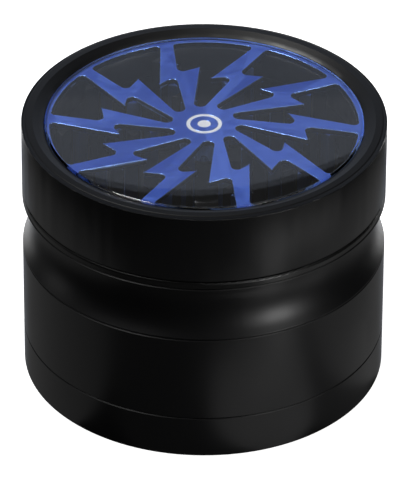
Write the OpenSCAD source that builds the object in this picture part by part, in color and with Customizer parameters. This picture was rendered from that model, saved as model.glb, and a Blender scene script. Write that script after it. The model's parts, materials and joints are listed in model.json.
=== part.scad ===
// Hand-held herb grinder: a windowed lid, a waisted grinding chamber, a collector with a sieve
// and a base cup. The lid turns and lifts off. The two lower seams are screw threads.
// Millimetres, +Z up, origin at the centre of the base cup's underside.

/* [Stack] */
// Radius of the outside wall
body_r = 31; // [31:0.1:33]
// Height of the base cup
base_h = 7.8; // [7.8:0.1:12]
// Height of the collector's visible wall
collector_h = 15.95; // [15:0.05:22]
// Height of the chamber's visible wall
chamber_h = 10.25; // [10.25:0.05:11.2]
// Height of the glide ring between the chamber and the lid
ring_h = 1.45; // [1.2:0.05:2]
// Height of the lid
lid_h = 12.75; // [12.75:0.05:14]
// Bevel below each seam
edge = 0.15; // [0.05:0.05:0.25]
// Height of the shadow line at each seam
shadow_h = 0.12; // [0.05:0.01:0.15]

/* [Waist] */
// How deep the waist cuts into the wall
waist_depth = 2.7; // [2.2:0.1:2.8]
// Radius of the waist's hollow
waist_arc_r = 11.6; // [10:0.1:12]
// Rounding of the lip below the waist
lip_round = 0.2; // [0.15:0.05:0.4]
// Thickness of the lip above the waist
lip_h = 0.35; // [0.3:0.05:0.6]

/* [Lid] */
// Width of the rim's outer bevel
outer_bevel_w = 0.8; // [0.5:0.05:1]
// Drop of the rim's outer bevel
outer_bevel_drop = 0.3; // [0.1:0.05:0.5]
// Width of the rim's flat crest
crest_w = 1.15; // [0.8:0.05:1.4]
// Drop of the rim's inner bevel
bevel_drop = 0.75; // [0.4:0.05:1]
// Thickness of the clear window
window_t = 1.5; // [1:0.1:2]
// Thickness of the spoked plate
plate_t = 1; // [0.8:0.1:2.5]

/* [Spokes] */
// Number of zigzag spokes
spokes = 10; // [10:1:10]
// Angle of the first spoke's outer end, in degrees
spoke_angle = 14.6; // [0:0.1:36]
// Radius that the openings between the spokes reach
opening_r = 26.2; // [25.8:0.1:26.4]

/* [Teeth] */
// Half of a tooth's size along the radius
tooth_half_l = 1.2; // [0.8:0.05:1.25]
// Half of a tooth's size across the radius
tooth_half_w = 2.2; // [1.6:0.1:2.4]
// Distance between neighbouring rings of teeth
ring_step = 3; // [3:0.1:3.1]
// Radius of the innermost ring of teeth
first_ring_r = 9; // [8.6:0.1:9]
// Radius of a drop hole in the chamber's floor
drop_hole_r = 1.6; // [1:0.1:1.6]

/* [Threads] */
// Rise of a section in one full turn
lead = 3; // [2.6:0.1:3]
// Number of thread starts
starts = 2; // [2:1:2]
// How far a male collar reaches into its socket
collar_h = 4.2; // [4.2:0.1:5]

/* [Hidden] */
$fn = 96;
black = [0.07, 0.07, 0.08];
blue = [0.16, 0.27, 0.62];
eps = 0.01;
gap = 0.05;                        // clearance between sections that part
crisp = 0.05;                      // a broken edge
shadow_w = 0.5;                    // how deep a shadow line goes into the wall

// Heights of the seams
z_base = base_h;
z_collector = z_base + collector_h;
z_chamber = z_collector + chamber_h;
z_ring = z_chamber + ring_h;
z_top = z_ring + lid_h;

// Threaded joints
collar_r = 27.6;                   // root of the male thread
collar_in_r = 25.6;
socket_r = 28.45;                  // root of the female thread
ridge_h = 0.65;                    // height of a thread ridge
ridge_foot = 0.8;                  // width of a ridge at its foot
ridge_crest = 0.3;                 // width of a ridge at its crest
ridge_turns = 0.68;                // length of a ridge in turns
ridge_up = 0.6;                    // a ridge's start above the collar's lower face
runout = 0.08;                     // turns over which a ridge fades at each end
seal_r = 0.5;                      // radius of the seal's cord
seal_ring_r = 27.85;
seal_down = 0.75;                  // the seal's centre below the seam

// Base cup and collector
floor_t = 1.6;
bowl_r = 26.2;
bowl_round = 1.8;
sieve_seat = 0.7;                  // the sieve's ledge above the collector's seam
sieve_in_r = 24.2;
sieve_out_r = 26.4;
sieve_t = 1;
mesh_t = 0.3;
mesh_lap = 1.2;                    // how far the mesh goes into its frame
snap_t = 0.8;
snap_gap = 14;                     // opening of the retaining ring, in degrees

// Chamber
plate_floor = 9.3;                 // the floor's top above the collector's seam
z_floor = z_collector + plate_floor;
plate_floor_t = 2;
chamber_r = 26.3;
upper_collar_r = 28.1;
upper_collar_h = 4.8;
z_upper_collar = z_ring + upper_collar_h;
floor_round = 1.2;
post_r = 4.2;
magnet_r = 3.2;
magnet_t = 2;
magnet_gap = 0.5;                  // between the post's top and the lid's boss
boss_h = 4;                        // the lid's boss below the spoked plate

// The waist's hollow touches the rounded lip below it, and the lip touches the wall
waist_x = body_r - waist_depth + waist_arc_r;
lip_x = body_r - lip_round;
z_lip = z_collector + gap / 2 + shadow_h + 2 * crisp;
reach = waist_arc_r + lip_round;
z_waist = z_lip + sqrt(reach * reach - (waist_x - lip_x) * (waist_x - lip_x));
touch = [waist_x, z_waist] + [lip_x - waist_x, z_lip - z_waist] * waist_arc_r / reach;

// Glide ring
ring_in_r = upper_collar_r + 0.1;
ring_round = 0.5;

// Lid
skirt_r = 28.35;
shoulder_r = 26;
pocket_r = 27.15;
crest_out_r = body_r - outer_bevel_w;
crest_in_r = crest_out_r - crest_w;
z_rim_edge = z_top - outer_bevel_drop;
window_rim_w = 0.4;
window_rim_h = 0.25;
z_window = z_top - bevel_drop + window_rim_h;
z_plate = z_window - window_t;
z_shoulder = z_upper_collar + 0.3;
z_boss = z_plate - plate_t - boss_h;
z_post = z_boss - magnet_gap;
mark_r = 3;
mark_line = 0.6;
mark_dot_r = 1.1;
mark_t = 0.2;

// Teeth
tooth_clear = 0.5;
tooth_h = z_plate - plate_t - z_floor - tooth_clear;
tooth_angle = spoke_angle + 2.3;   // the middle of a spoke at every ring

// Corners of one opening between two spokes: [x, y, corner radius]. The first spoke's outer end
// points along +Y, and the opening lies on its left. Near corners are on that spoke, and far
// corners are on the next spoke.
near_corners = [[-4.25, 14.02, 0.05], [-0.88, 15.92, 0.95]];
hub_corner = [-2.45, 0.49, 1.05];
far_corners = [[3.85, 17.82, 0.12], [-0.3, 16.9, 1]];
near_outer_x = -1.12;
far_outer_x = 1.22;
outer_round = 0.8;

function turned(p, a) = [p.x * cos(a) - p.y * sin(a), p.x * sin(a) + p.y * cos(a), p.z];
function on_circle(r, x) = [x, sqrt(r * r - x * x), outer_round];
function angle_of(p) = atan2(p.y, p.x);

// Points of the arc that rounds corner p between its neighbours a and b
function corner_arc(a, p, b) =
    let (
        u = [a.x - p.x, a.y - p.y] / norm([a.x - p.x, a.y - p.y]),
        v = [b.x - p.x, b.y - p.y] / norm([b.x - p.x, b.y - p.y]),
        half = acos(u * v) / 2,
        mid = (u + v) / norm(u + v),
        c = [p.x, p.y] + mid * p.z / sin(half),
        from = angle_of([p.x, p.y] + u * p.z / tan(half) - c),
        to = angle_of([p.x, p.y] + v * p.z / tan(half) - c),
        sweep = (to - from + 540) % 360 - 180,
        steps = max(2, ceil(abs(sweep) / 15))
    )
    [for (i = [0:steps]) c + p.z * [cos(from + sweep * i / steps), sin(from + sweep * i / steps)]];

// The opening's rounded outline, counted round from its near outer corner
function opening_outline() =
    let (
        pitch = 360 / spokes,
        far = [for (c = far_corners) turned(c, pitch)],
        near_outer = on_circle(opening_r, near_outer_x),
        far_outer = turned(on_circle(opening_r, far_outer_x), pitch),
        corners = concat([near_outer], near_corners, [hub_corner], far, [far_outer]),
        n = len(corners),
        rim_from = angle_of(far_outer),
        rim_to = angle_of(near_outer),
        rim = [for (i = [1:7]) let (a = rim_from + (rim_to - rim_from) * i / 8)
            opening_r * [cos(a), sin(a)]],
        before = [rim[6].x, rim[6].y, 0],
        after = [rim[0].x, rim[0].y, 0]
    )
    concat(
        [for (i = [0:n - 1]) each corner_arc(
            i == 0 ? before : corners[i - 1],
            corners[i],
            i == n - 1 ? after : corners[i + 1]
        )],
        rim
    );

// One start of a helical ridge. side is 1 on a collar and -1 in a socket.
function ridge_ring(root_r, side, turn, z) =
    let (
        fade = min(1, turn / runout + 0.1, (ridge_turns - turn) / runout + 0.1),
        a = 360 * turn,
        foot = root_r - side * 0.1,
        crest = root_r + side * ridge_h * fade,
        section = [
            [foot, -ridge_foot / 2], [crest, -ridge_crest / 2],
            [crest, ridge_crest / 2], [foot, ridge_foot / 2]
        ]
    )
    [for (p = section) [p.x * cos(a), p.x * sin(a), z + lead * turn + p.y]];

// Two triangles for the face between corners k and k + 1 of ring i and of the ring after it
function ridge_face(i, k) =
    let (low = 4 * i + k, high = 4 * i + (k + 1) % 4)
    [[low, high, high + 4], [low, high + 4, low + 4]];

function flipped(faces) = [for (f = faces) [f[2], f[1], f[0]]];

module ridge(root_r, side, z) {
    steps = 44;
    last = 4 * steps;
    rings = [for (i = [0:steps]) ridge_ring(root_r, side, ridge_turns * i / steps, z)];
    sides = [for (i = [0:steps - 1], k = [0:3]) each ridge_face(i, k)];
    ends = [[2, 1, 0], [3, 2, 0], [last, last + 1, last + 2], [last, last + 2, last + 3]];
    faces = concat(sides, ends);
    polyhedron([for (ring = rings) each ring], side > 0 ? faces : flipped(faces), convexity = 6);
}

module thread(root_r, side, z, phase = 0)
    for (i = [0:starts - 1])
        rotate(360 * i / starts + phase) ridge(root_r, side, z);

// A male collar's thread and its socket's thread lie half a pitch apart
module collar_thread(seam) thread(collar_r, 1, seam - collar_h + ridge_up);
module socket_thread(seam) thread(socket_r, -1, seam - collar_h + ridge_up, 180 / starts);

module block(r_in, r_out, z_low, z_high)
    translate([r_in, z_low]) square([r_out - r_in, z_high - z_low]);

// The outer edges of a wall section, from the bottom up
function bevel_low(z, b) = [[body_r - b, z], [body_r, z + b]];
function bevel_high(z, b) = [[body_r, z - b], [body_r - b, z]];
function shadow_low(z) = [
    [body_r - shadow_w, z], [body_r - shadow_w, z + shadow_h],
    [body_r - crisp, z + shadow_h], [body_r, z + shadow_h + crisp]
];

// A wall section from r_in to the outside, between a lower and an upper edge
module wall(r_in, low, high)
    polygon(concat([[r_in, low[0].y]], low, high, [[r_in, high[1].y]]));

// A corner filled with a cove of radius r: x and y are 1 or -1, away from the corner
module cove(at, r, x, y)
    translate(at) scale([x, y]) difference() {
        translate([-eps, -eps]) square(r + eps);
        translate([r, r]) circle(r);
    }

// The collar below a seam, with the groove for its seal
module collar_section(seam)
    difference() {
        block(collar_in_r, collar_r, seam - collar_h, seam + sieve_seat / 2);
        block(
            seal_ring_r - seal_r - gap, collar_r + 1,
            seam - seal_down - seal_r - gap, seam - seal_down + seal_r + gap
        );
    }

module seal(seam)
    color("dimgray") rotate_extrude() translate([seal_ring_r, seam - seal_down]) circle(seal_r);

module base_cup()
    color(black) {
        rotate_extrude() difference() {
            wall(0, bevel_low(0, 2 * edge), bevel_high(z_base - gap / 2, edge));
            block(-1, bowl_r, floor_t, z_base + 1);
            block(bowl_r - eps, socket_r, z_base - collar_h - 0.2, z_base + 1);
        }
        rotate_extrude() cove([bowl_r, floor_t], bowl_round, -1, 1);
        socket_thread(z_base);
    }

module collector_body()
    color(black) {
        seat = z_base + sieve_seat;
        snap_z = seat + sieve_t + 0.05;
        rotate_extrude() {
            collar_section(z_base);
            difference() {
                wall(collar_in_r, shadow_low(z_base + gap / 2), bevel_high(z_collector - gap / 2, edge));
                block(0, sieve_out_r + gap, seat, z_collector + 1);
                block(0, sieve_out_r + 0.7, snap_z, snap_z + snap_t + 0.1);
                block(0, socket_r, z_collector - collar_h - 0.2, z_collector + 1);
            }
        }
        socket_thread(z_collector);
        collar_thread(z_base);
    }

module sieve_frame()
    color("silver") translate([0, 0, z_base + sieve_seat]) rotate_extrude() difference() {
        block(sieve_in_r, sieve_out_r, 0, sieve_t);
        block(0, sieve_in_r + mesh_lap, (sieve_t - mesh_t) / 2, (sieve_t + mesh_t) / 2);
    }

module sieve_mesh()
    color("lightgray") translate([0, 0, z_base + sieve_seat + (sieve_t - mesh_t) / 2])
        cylinder(r = sieve_in_r + mesh_lap, h = mesh_t);

module sieve_retaining_ring()
    color("silver") translate([0, 0, z_base + sieve_seat + sieve_t + 0.1])
        rotate(90 + snap_gap / 2) rotate_extrude(angle = 360 - snap_gap)
            block(sieve_out_r - 1.2, sieve_out_r + 0.6, 0, snap_t);

// What is cut off to round the lip below the waist
module lip_cut()
    difference() {
        polygon([[lip_x, z_lip], [body_r + 1, z_lip], [body_r + 1, touch.y], touch]);
        translate([lip_x, z_lip]) circle(lip_round);
    }

// The chamber's outside: a hollow waist between a rounded lip and a thin one
module chamber_outside() {
    lip_under = z_chamber - lip_h;
    difference() {
        wall(collar_in_r, shadow_low(z_collector + gap / 2), bevel_high(z_chamber - gap / 2, edge));
        intersection() {
            translate([waist_x, z_waist]) circle(waist_arc_r);
            block(0, body_r + 1, z_collector, lip_under);
        }
        lip_cut();
        polygon([
            [body_r - edge, lip_under - eps], [body_r + 1, lip_under - eps],
            [body_r + 1, lip_under + crisp], [body_r, lip_under + crisp]
        ]);
        block(0, chamber_r, z_floor, z_chamber + 1);
    }
}

module upper_collar() block(chamber_r, upper_collar_r, z_chamber - 1, z_upper_collar);

module drop_holes()
    for (ring = [[0, 10], [2, 16], [4, 24]], i = [0:ring[1] - 1])
        rotate(360 * (i + 0.5) / ring[1] + tooth_angle)
            translate([0, first_ring_r + ring[0] * ring_step, z_floor - plate_floor_t - 1])
                cylinder(r = drop_hole_r, h = plate_floor_t + 2, $fn = 32);

module chamber_body()
    color(black) {
        difference() {
            rotate_extrude() {
                collar_section(z_collector);
                chamber_outside();
                upper_collar();
                block(0, chamber_r, z_floor - plate_floor_t, z_floor);
                cove([chamber_r, z_floor], floor_round, -1, 1);
                block(0, post_r, z_floor - eps, z_post);
                cove([post_r, z_floor], floor_round / 2, 1, 1);
            }
            translate([0, 0, z_post - magnet_t]) cylinder(r = magnet_r + gap, h = magnet_t + 1);
            drop_holes();
        }
        collar_thread(z_collector);
    }

module tooth_ring(r, count, z, half_w = tooth_half_w)
    for (i = [0:count - 1])
        rotate(360 * i / count + tooth_angle) translate([0, r, z]) linear_extrude(tooth_h)
            polygon([[half_w, 0], [0, tooth_half_l], [-half_w, 0], [0, -tooth_half_l]]);

module chamber_teeth(ring, count)
    color(black) tooth_ring(first_ring_r + ring * ring_step, count, z_floor);

module lid_teeth(ring, count, half_w)
    color(blue) tooth_ring(first_ring_r + ring * ring_step, count, z_floor + tooth_clear, half_w);

module chamber_magnet()
    color("silver") translate([0, 0, z_post - magnet_t]) cylinder(r = magnet_r, h = magnet_t - gap);

module lid_magnet()
    color("silver") translate([0, 0, z_boss + gap])
        cylinder(r = magnet_r, h = magnet_t);

// The ring that the lid turns on, round the chamber's collar
module glide_ring()
    color(black) rotate_extrude() {
        ring_top = z_ring - gap / 2;
        wall(ring_in_r, shadow_low(z_chamber + gap / 2), bevel_high(ring_top, ring_round));
        translate([body_r - ring_round, ring_top - ring_round]) circle(ring_round);
    }

module lid_ring()
    color(black) rotate_extrude() difference() {
        polygon(concat(
            [[shoulder_r, z_ring + gap / 2]],
            shadow_low(z_ring + gap / 2),
            [[body_r, z_rim_edge - crisp], [body_r - crisp, z_rim_edge]],
            [[crest_out_r, z_top], [crest_in_r, z_top]],
            [[pocket_r, z_top - bevel_drop], [shoulder_r, z_top - bevel_drop]]
        ));
        block(0, skirt_r, z_ring - 1, z_shoulder);
        block(0, pocket_r, z_plate - plate_t, z_top + 1);
    }

module spoke_plate()
    color(blue) difference() {
        union() {
            translate([0, 0, z_plate - plate_t]) difference() {
                cylinder(r = pocket_r - gap, h = plate_t);
                for (i = [0:spokes - 1])
                    rotate(360 * i / spokes + spoke_angle) translate([0, 0, -1])
                        linear_extrude(plate_t + 2) polygon(opening_outline());
            }
            translate([0, 0, z_boss]) cylinder(r = post_r, h = boss_h + 1);
        }
        translate([0, 0, z_boss - 1])
            cylinder(r = magnet_r + gap, h = magnet_t + gap + 1);
        translate([0, 0, z_plate - mark_t]) mark(1);
    }

// A plain ring and dot, inlaid flush in the hub
module mark(h) {
    difference() {
        cylinder(r = mark_r, h = h);
        translate([0, 0, -1]) cylinder(r = mark_r - mark_line, h = h + 2);
    }
    cylinder(r = mark_dot_r, h = h);
}

module centre_mark()
    color("white") translate([0, 0, z_plate - mark_t]) mark(mark_t);

module window_disc()
    color([0.8, 0.85, 0.9, 0.35]) rotate_extrude()
        polygon([
            [0, z_plate], [pocket_r - gap, z_plate], [pocket_r - gap, z_top - bevel_drop],
            [pocket_r - window_rim_w, z_window], [0, z_window]
        ]);

base_cup();
seal(z_base);  // base_seal
collector_body();
sieve_mesh();
sieve_frame();
sieve_retaining_ring();
seal(z_collector);  // chamber_seal
chamber_body();
chamber_teeth(1, 5);  // chamber_teeth_inner
chamber_teeth(3, 10);  // chamber_teeth_middle
chamber_teeth(5, 10);  // chamber_teeth_outer
chamber_magnet();
glide_ring();
lid_ring();
spoke_plate();
lid_teeth(0, 5, 1.5);  // lid_teeth_inner
lid_teeth(2, 10, 2);  // lid_teeth_middle
lid_teeth(4, 10, 1.7);  // lid_teeth_outer
lid_magnet();
window_disc();
centre_mark();
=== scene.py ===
"""Looks for the herb grinder: materials, edge work, a studio and the camera."""

import json
import math

import bpy
from mathutils import Matrix, Vector

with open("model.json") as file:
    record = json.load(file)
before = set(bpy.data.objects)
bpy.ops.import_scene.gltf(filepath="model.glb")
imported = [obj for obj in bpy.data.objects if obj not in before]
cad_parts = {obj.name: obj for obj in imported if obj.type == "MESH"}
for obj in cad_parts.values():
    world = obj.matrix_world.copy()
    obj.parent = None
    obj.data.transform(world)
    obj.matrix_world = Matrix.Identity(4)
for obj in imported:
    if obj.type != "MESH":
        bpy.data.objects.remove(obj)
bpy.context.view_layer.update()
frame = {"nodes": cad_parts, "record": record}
NODES = frame["nodes"]
MM = 0.001

# ---------------------------------------------------------------- node helpers


class Shader:
    """A material's node tree, with short calls for the nodes that the materials share."""

    def __init__(self, name, colour):
        self.material = bpy.data.materials.new(name)
        self.material.use_nodes = True
        self.material.diffuse_color = (*colour, 1)
        self.tree = self.material.node_tree
        self.bsdf = self.tree.nodes["Principled BSDF"]
        self.set("Base Color", (*colour, 1))
        self.coordinates = self.node("ShaderNodeTexCoord")

    def node(self, kind, **settings):
        made = self.tree.nodes.new(kind)
        for key, value in settings.items():
            setattr(made, key, value)
        return made

    def link(self, source, target):
        self.tree.links.new(source, target)

    def set(self, socket, value):
        self.bsdf.inputs[socket].default_value = value

    def noise(self, scale, detail):
        """Noise over the surface; scale is features per metre."""
        made = self.node("ShaderNodeTexNoise")
        made.inputs["Scale"].default_value = scale
        made.inputs["Detail"].default_value = detail
        self.link(self.coordinates.outputs["Object"], made.inputs["Vector"])
        return made.outputs["Fac"]

    def remap(self, source, low, high, start=0.0, end=1.0):
        """The source's range from start to end, laid over the range from low to high."""
        made = self.node("ShaderNodeMapRange")
        for socket, value in zip(("From Min", "From Max", "To Min", "To Max"), (start, end, low, high)):
            made.inputs[socket].default_value = value
        self.link(source, made.inputs["Value"])
        return made.outputs["Result"]

    def math(self, operation, a, b):
        made = self.node("ShaderNodeMath", operation=operation)
        for socket, value in zip(made.inputs, (a, b)):
            if isinstance(value, (int, float)):
                socket.default_value = value
            else:
                self.link(value, socket)
        return made.outputs["Value"]

    def blend(self, factor, low, high):
        """A base colour that goes from low to high with the factor."""
        made = self.node("ShaderNodeMix", data_type="RGBA")
        made.inputs["A"].default_value = (*low, 1)
        made.inputs["B"].default_value = (*high, 1)
        self.link(factor, made.inputs["Factor"])
        self.link(made.outputs["Result"], self.bsdf.inputs["Base Color"])

    def bump(self, height, distance, strength):
        made = self.node("ShaderNodeBump")
        made.inputs["Distance"].default_value = distance
        made.inputs["Strength"].default_value = strength
        self.link(height, made.inputs["Height"])
        self.link(made.outputs["Normal"], self.bsdf.inputs["Normal"])


# ---------------------------------------------------------------- materials

BLUE = (0.26, 0.43, 0.90)
BLUE_SATIN = (0.38, 0.46)
BLUE_GRAIN = 7000
BLUE_GRAIN_DEPTH = 0.01 * MM


def black_anodised():
    """Dyed, bead-blasted aluminium: nearly black, satin, with a fine grain."""
    m = Shader("black_anodised", (0.0025, 0.0025, 0.003))
    grain = m.noise(9000, 3)
    cloud = m.noise(140, 3)
    m.blend(cloud, (0.002, 0.002, 0.0024), (0.003, 0.003, 0.0034))
    m.link(m.remap(cloud, 0.34, 0.39), m.bsdf.inputs["Roughness"])
    m.bump(grain, 0.004 * MM, 0.5)
    return m.material


def blue_anodised():
    """Blue dyed aluminium with a satin grain, in a deeper tone for the teeth."""
    m = Shader("blue_anodised", BLUE)
    grain = m.noise(BLUE_GRAIN, 3)
    cloud = m.noise(200, 2)
    m.set("Metallic", 1.0)
    m.blend(cloud, (0.12, 0.20, 0.46), (0.14, 0.23, 0.50))
    m.link(m.remap(grain, *BLUE_SATIN), m.bsdf.inputs["Roughness"])
    m.bump(grain, BLUE_GRAIN_DEPTH, 0.5)
    return m.material


def blue_plate():
    """The blue on the plate's faces, with painted shade on its cut walls: a nearly black colour and
    almost no reflection there; its rounded edges are glossier.
    """
    # Painted shade: the colour laid on the plate's upright cut walls
    painted_wall_shade = (0.001, 0.001, 0.002)
    wall_level, face_level = 0.1, 0.3
    edge_level, edge_reach, edge_gloss = 0.6, 0.36, 0.22
    m = Shader("blue_plate", BLUE)
    grain = m.noise(BLUE_GRAIN, 3)
    normal = m.node("ShaderNodeSeparateXYZ")
    m.link(m.coordinates.outputs["Normal"], normal.inputs[0])
    # 1 on the flat faces, 0 on the upright walls
    level = m.math("ABSOLUTE", normal.outputs["Z"], 0)
    # Painted shade: this mask fades the upright walls to the dark colour and turns their metal and
    # specular reflection almost off
    unshaded_faces = m.remap(level, 0, 1, wall_level, face_level)
    m.link(unshaded_faces, m.bsdf.inputs["Metallic"])
    m.link(m.math("MULTIPLY", unshaded_faces, 0.5), m.bsdf.inputs["Specular IOR Level"])
    m.blend(unshaded_faces, painted_wall_shade, BLUE)
    from_edge = m.math("ABSOLUTE", m.math("SUBTRACT", level, edge_level), 0)
    gloss = m.math("MULTIPLY", m.math("LESS_THAN", from_edge, edge_reach), edge_gloss)
    m.link(m.math("SUBTRACT", m.remap(grain, *BLUE_SATIN), gloss), m.bsdf.inputs["Roughness"])
    m.bump(grain, BLUE_GRAIN_DEPTH, 0.5)
    return m.material


def acrylic():
    """Clear polished acrylic that lets lamps reach what is under it."""
    m = Shader("acrylic", (0.97, 0.98, 1.0))
    m.set("Roughness", 0.01)
    m.set("IOR", 1.49)
    m.set("Transmission Weight", 1.0)
    path = m.node("ShaderNodeLightPath")
    clear = m.node("ShaderNodeBsdfTransparent")
    mix = m.node("ShaderNodeMixShader")
    m.link(path.outputs["Is Shadow Ray"], mix.inputs[0])
    m.link(m.bsdf.outputs[0], mix.inputs[1])
    m.link(clear.outputs[0], mix.inputs[2])
    m.link(mix.outputs[0], m.tree.nodes["Material Output"].inputs["Surface"])
    return m.material


def plain(name, colour, roughness, metallic=0.0):
    """A quiet finish with a fine grain and a little variation in its colour and gloss."""
    m = Shader(name, colour)
    grain = m.noise(6000, 3)
    cloud = m.noise(180, 2)
    m.set("Metallic", metallic)
    m.blend(cloud, [0.9 * c for c in colour], [min(1.0, 1.08 * c) for c in colour])
    m.link(m.remap(grain, 0.85 * roughness, 1.15 * roughness), m.bsdf.inputs["Roughness"])
    m.bump(grain, 0.006 * MM, 0.6)
    return m.material


SLOT_FINISHES = {
    "black_anodised": black_anodised(),
    "blue_anodised": blue_anodised(),
    "acrylic": acrylic(),
    "mark_white": plain("mark_white", (0.85, 0.86, 0.88), 0.5),
    "seal_rubber": plain("seal_rubber", (0.02, 0.02, 0.02), 0.7),
    "glide_polymer": plain("glide_polymer", (0.004, 0.004, 0.004), 0.34),
    "sieve_steel": plain("sieve_steel", (0.45, 0.45, 0.45), 0.35, 1.0),
    "spring_steel": plain("spring_steel", (0.5, 0.5, 0.5), 0.25, 1.0),
    "magnet_nickel": plain("magnet_nickel", (0.66, 0.64, 0.6), 0.16, 1.0),
}
NODE_FINISHES = {"spoke_plate": blue_plate()}

for part in frame["record"]["subparts"]:
    materials = NODES[part["node"]].data.materials
    materials.clear()
    materials.append(NODE_FINISHES.get(part["node"], SLOT_FINISHES[part["material_slot"]]))

# ---------------------------------------------------------------- edges


def soften_edges(node, width):
    """A small bevel on a CAD node's sharp edges, so that they catch the light."""
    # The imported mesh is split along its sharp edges, and the weld joins it there for the bevel
    weld = NODES[node].modifiers.new("weld", "WELD")
    weld.merge_threshold = 0.001 * MM
    bevel = NODES[node].modifiers.new("edge", "BEVEL")
    bevel.width = width
    bevel.segments = 2
    bevel.limit_method = "ANGLE"
    bevel.angle_limit = math.radians(35)
    bevel.use_clamp_overlap = False
    bevel.harden_normals = True


EDGE_WIDTHS = {"spoke_plate": 0.1 * MM, "window_disc": 0.1 * MM, "lid_ring": 0.08 * MM}

for name, width in EDGE_WIDTHS.items():
    soften_edges(name, width)

# ---------------------------------------------------------------- studio

MIDDLE = Vector((0, 0, 0.03))
BOX_DISTANCE = 1.0

# Name, azimuth and elevation, width and height in metres, radiance
SOFT_BOXES = (
    ("right_box", 46, 15, 0.22, 0.22, 14.5),
    ("left_top_box", -105, 66, 0.25, 0.25, 19),
    ("left_box", -100, 8, 0.3, 0.3, 0.6),
    ("left_front_box", -55, 52, 0.3, 0.2, 3),
    ("right_front_box", 48, 50, 0.2, 0.2, 4),
    ("back_fill", 180, 50, 0.6, 0.62, 0.05),
)

# Name, azimuth and distance, size across and along that direction in metres, radiance
FLOOR_PATCHES = (
    ("front", -5, 0.11, 0.12, 0.16, 0.035),
    ("right_front_near", 26, 0.054, 0.042, 0.044, 0.36),
    ("right_front", 34, 0.094, 0.046, 0.062, 1.1),
    ("right_near", 60, 0.042, 0.06, 0.022, 0.07),
    ("right_far", 62, 0.105, 0.056, 0.056, 0.6),
    ("right", 95, 0.075, 0.10, 0.09, 0.18),
    ("left", -98, 0.06, 0.11, 0.09, 0.15),
    ("back", 180, 0.19, 0.40, 0.24, 2.8),
)


def around(azimuth, elevation, distance, height):
    """A place as seen from the axis at a height: azimuth 0 is the front, and it grows to the right."""
    turn, tilt = math.radians(azimuth), math.radians(elevation)
    out = distance * math.cos(tilt)
    return Vector((out * math.sin(turn), -out * math.cos(turn), height + distance * math.sin(tilt)))


def card(name, at, aim, width, height, glow, shape="RECTANGLE", colour=(1, 1, 1)):
    """A soft light of the given size and radiance, aimed at a point. The camera doesn't see it."""
    lamp = bpy.data.lights.new(name, "AREA")
    lamp.shape = shape
    lamp.size = width
    lamp.size_y = height
    fill = math.pi / 4 if shape == "ELLIPSE" else 1
    lamp.energy = glow * math.pi * fill * width * height
    lamp.color = colour
    holder = bpy.data.objects.new(name, lamp)
    bpy.context.scene.collection.objects.link(holder)
    holder.location = at
    holder.rotation_euler = (Vector(aim) - Vector(at)).to_track_quat("-Z", "Y").to_euler()
    holder.visible_camera = False
    return holder


def white_world():
    """A world that is white to the camera and nearly black in reflections."""
    world = bpy.data.worlds.new("studio")
    bpy.context.scene.world = world
    world.use_nodes = True
    tree = world.node_tree
    sky = tree.nodes["Background"]
    sky.inputs["Color"].default_value = (1, 1, 1, 1)
    path = tree.nodes.new("ShaderNodeLightPath")
    strength = tree.nodes.new("ShaderNodeMapRange")
    strength.inputs["To Min"].default_value = 0.012
    strength.inputs["To Max"].default_value = 1.0
    tree.links.new(path.outputs["Is Camera Ray"], strength.inputs["Value"])
    tree.links.new(strength.outputs["Result"], sky.inputs["Strength"])


def white_floor():
    """A white floor that reflections and shadows don't meet, so the patches under it light the object."""
    reach = 4.0
    corners = [(-reach, -reach, 0), (reach, -reach, 0), (reach, reach, 0), (-reach, reach, 0)]
    mesh = bpy.data.meshes.new("floor")
    mesh.from_pydata(corners, [], [(0, 1, 2, 3)])
    floor = bpy.data.objects.new("floor", mesh)
    bpy.context.scene.collection.objects.link(floor)
    paper = Shader("paper", (0.9, 0.9, 0.9))
    paper.set("Roughness", 0.9)
    paper.set("Emission Color", (1, 1, 1, 1))
    paper.set("Emission Strength", 1.0)
    mesh.materials.append(paper.material)
    floor.visible_glossy = False
    floor.visible_diffuse = False
    floor.visible_shadow = False
    floor.location.z = -0.02 * MM


def lights():
    """Soft boxes round the object, a strip overhead, a card close behind, and patches of bright floor."""
    for name, azimuth, elevation, width, height, glow in SOFT_BOXES:
        card(name, around(azimuth, elevation, BOX_DISTANCE, MIDDLE.z), MIDDLE, width, height, glow)
    card("overhead_strip", (0, -0.14, 1.0), MIDDLE, 2.4, 0.45, 0.8)

    sky_blue = (0.85, 0.95, 1.15)
    card("back_card", (-0.003, 0.1, 0), (-0.003, 0, 0), 0.17, 0.254, 0.29, "ELLIPSE", sky_blue)

    for name, azimuth, distance, across, along, glow in FLOOR_PATCHES:
        at = around(azimuth, 0, distance, -MM)
        patch = card("floor_" + name, at, at + Vector((0, 0, 1)), across, along, glow, "ELLIPSE")
        patch.rotation_euler = (math.pi, 0, math.radians(azimuth))


def camera():
    """The photograph's camera: a long lens in front of the object, looking down at 34 degrees."""
    distance = 0.9657
    elevation = math.radians(33.66)
    target = Vector((0, 0, 0.023))
    lens = bpy.data.cameras.new("camera")
    lens.lens = 422.07
    lens.sensor_width = 36
    lens.shift_x = 0.0028
    lens.shift_y = 0.0040
    lens.clip_start = 0.05
    holder = bpy.data.objects.new("camera", lens)
    bpy.context.scene.collection.objects.link(holder)
    away = Vector((0, -math.cos(elevation), math.sin(elevation)))
    turn = (-away).to_track_quat("-Z", "Y").to_matrix().to_4x4()
    roll = Matrix.Rotation(math.radians(0.27), 4, "Z")
    holder.matrix_world = Matrix.Translation(target + distance * away) @ turn @ roll
    bpy.context.scene.camera = holder


bpy.context.scene.view_settings.view_transform = "Standard"
white_world()
white_floor()
lights()
camera()
